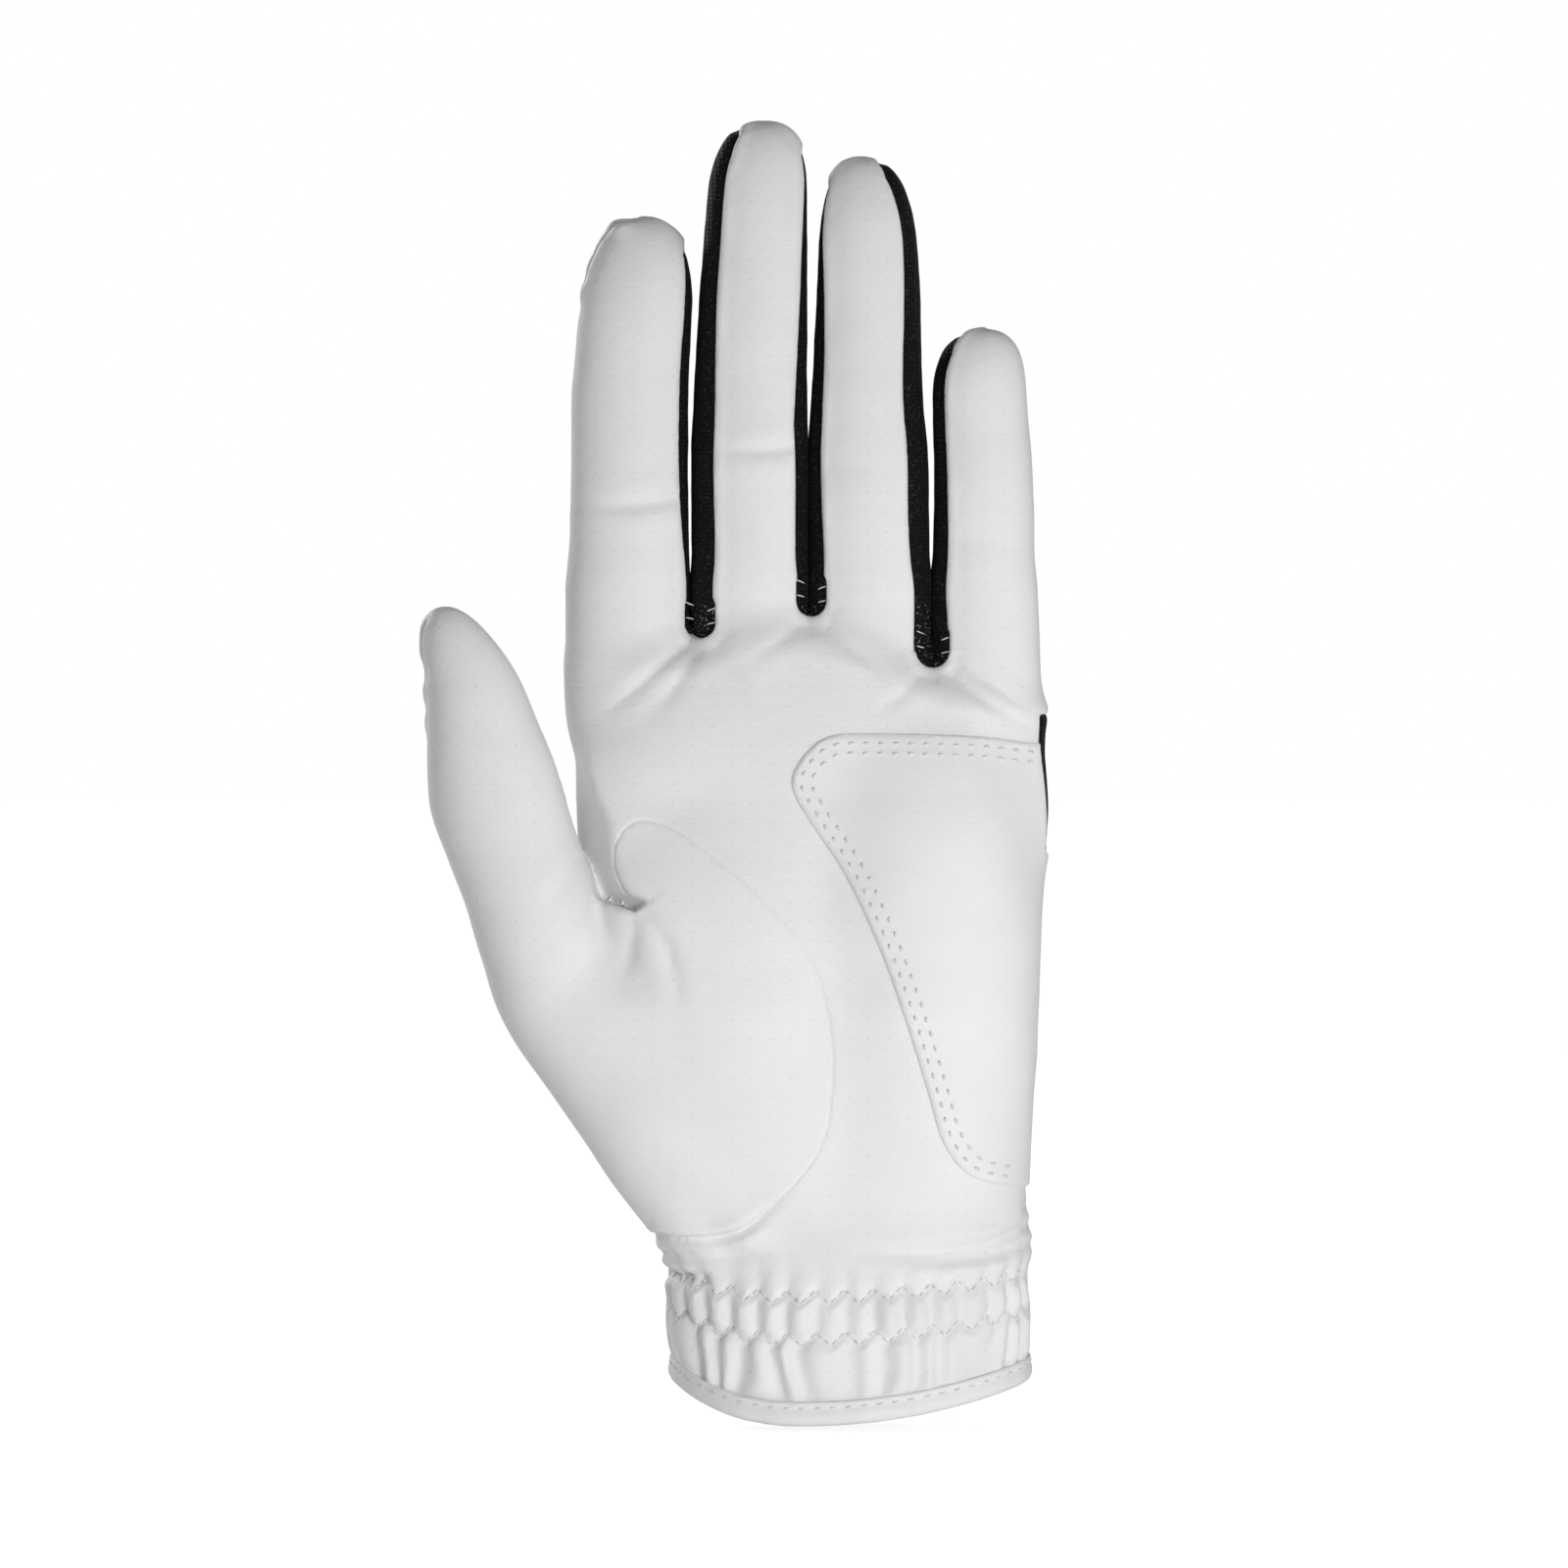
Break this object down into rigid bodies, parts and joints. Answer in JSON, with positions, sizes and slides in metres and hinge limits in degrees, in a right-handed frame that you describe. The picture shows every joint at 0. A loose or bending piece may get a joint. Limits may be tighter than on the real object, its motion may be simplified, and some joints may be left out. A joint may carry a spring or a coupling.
{
  "type": "golf glove",
  "caption": "Left-hand golf glove in pale leather with stretch strips between the fingers, a palm patch, a gathered elastic cuff and a closure tab that peels open.",
  "frame": {"origin": "centre of the cuff opening, level with the lowest point of the hem", "axes": "+Z to the fingertips, -Y the palm side, +X the little-finger side"},
  "size_m": [0.1151, 0.047, 0.2352],
  "materials": {
    "leather": "smooth fine-grained white synthetic leather, matte",
    "back_leather": "fine-grained white synthetic leather with rows of tiny air holes",
    "patch_leather": "smooth white leather patch",
    "binding_leather": "soft white binding",
    "tab_leather": "smooth white leather",
    "stretch_knit": "black ribbed stretch knit",
    "elastic": "woven white elastic",
    "thread": "white sewing thread",
    "hook_and_loop": "white hook-and-loop pile"
  },
  "bodies": {
    "hand": {"palm_panel": "leather", "back_panel": "back_leather", "knuckle_stretch_insert": "stretch_knit", "thumb_root_palm_side": "leather", "thumb_root_back": "back_leather", "palm_patch": "patch_leather", "patch_stitching_outer": "thread", "patch_stitching_inner": "thread", "zigzag_stitching_upper": "thread", "zigzag_stitching_lower": "thread", "wrist_elastic": "elastic", "hem_binding": "binding_leather", "hem_stitching": "thread", "slit_binding": "binding_leather", "loop_pad": "hook_and_loop", "tab_sewn_end": "tab_leather", "web_index_middle": "stretch_knit", "web_middle_ring": "stretch_knit", "web_ring_little": "stretch_knit"},
    "index_base": {"index_finger_base_palm_side": "leather", "index_finger_base_back": "back_leather", "index_finger_base_strip_outer": "stretch_knit"},
    "index_tip": {"index_finger_tip_palm_side": "leather", "index_finger_tip_back": "back_leather", "index_finger_tip_strip_outer": "stretch_knit"},
    "middle_base": {"middle_finger_base_palm_side": "leather", "middle_finger_base_back": "back_leather", "middle_finger_base_strip_inner": "stretch_knit", "middle_finger_base_strip_outer": "stretch_knit"},
    "middle_tip": {"middle_finger_tip_palm_side": "leather", "middle_finger_tip_back": "back_leather", "middle_finger_tip_strip_inner": "stretch_knit", "middle_finger_tip_strip_outer": "stretch_knit"},
    "ring_base": {"ring_finger_base_palm_side": "leather", "ring_finger_base_back": "back_leather", "ring_finger_base_strip_inner": "stretch_knit", "ring_finger_base_strip_outer": "stretch_knit"},
    "ring_tip": {"ring_finger_tip_palm_side": "leather", "ring_finger_tip_back": "back_leather", "ring_finger_tip_strip_inner": "stretch_knit", "ring_finger_tip_strip_outer": "stretch_knit"},
    "little_base": {"little_finger_base_palm_side": "leather", "little_finger_base_back": "back_leather", "little_finger_base_strip_inner": "stretch_knit"},
    "little_tip": {"little_finger_tip_palm_side": "leather", "little_finger_tip_back": "back_leather", "little_finger_tip_strip_inner": "stretch_knit"},
    "thumb_base": {"thumb_base_palm_side": "leather", "thumb_base_back": "back_leather"},
    "thumb_tip": {"thumb_tip_palm_side": "leather", "thumb_tip_back": "back_leather"},
    "tab": {"closure_tab": "tab_leather", "hook_pad": "hook_and_loop", "tab_stitching": "thread"}
  },
  "joints": [
    {"name": "index_base_bend", "type": "hinge", "parent": "hand", "child": "index_base", "pos_m": [-0.0397, -0.003, 0.1505], "axis": [1, 0, 0], "range_deg": [0, 50]},
    {"name": "index_middle_bend", "type": "hinge", "parent": "index_base", "child": "index_tip", "pos_m": [-0.0391, -0.003, 0.167], "axis": [1, 0, 0], "range_deg": [0, 80]},
    {"name": "middle_base_bend", "type": "hinge", "parent": "hand", "child": "middle_base", "pos_m": [-0.0177, -0.003, 0.155], "axis": [1, 0, 0], "range_deg": [0, 50]},
    {"name": "middle_middle_bend", "type": "hinge", "parent": "middle_base", "child": "middle_tip", "pos_m": [-0.0172, -0.003, 0.175], "axis": [1, 0, 0], "range_deg": [0, 80]},
    {"name": "ring_base_bend", "type": "hinge", "parent": "hand", "child": "ring_base", "pos_m": [0.0034, -0.003, 0.1535], "axis": [1, 0, 0], "range_deg": [0, 50]},
    {"name": "ring_middle_bend", "type": "hinge", "parent": "ring_base", "child": "ring_tip", "pos_m": [0.0033, -0.003, 0.172], "axis": [1, 0, 0], "range_deg": [0, 80]},
    {"name": "little_base_bend", "type": "hinge", "parent": "hand", "child": "little_base", "pos_m": [0.0251, -0.003, 0.1455], "axis": [1, 0, 0], "range_deg": [0, 50]},
    {"name": "little_middle_bend", "type": "hinge", "parent": "little_base", "child": "little_tip", "pos_m": [0.0247, -0.003, 0.16], "axis": [1, 0, 0], "range_deg": [0, 80]},
    {"name": "thumb_base_bend", "type": "hinge", "parent": "hand", "child": "thumb_base", "pos_m": [-0.06188, -0.0086, 0.11222], "axis": [0.8349, 0.5, 0.23], "range_deg": [0, 25]},
    {"name": "thumb_tip_bend", "type": "hinge", "parent": "thumb_base", "child": "thumb_tip", "pos_m": [-0.06626, -0.0086, 0.12813], "axis": [0.8349, 0.5, 0.23], "range_deg": [0, 50]},
    {"name": "tab_peel", "type": "hinge", "parent": "hand", "child": "tab", "pos_m": [0.0123, 0.0211, 0.042], "axis": [0, 0.052, -0.9986], "range_deg": [0, 110]}
  ]
}
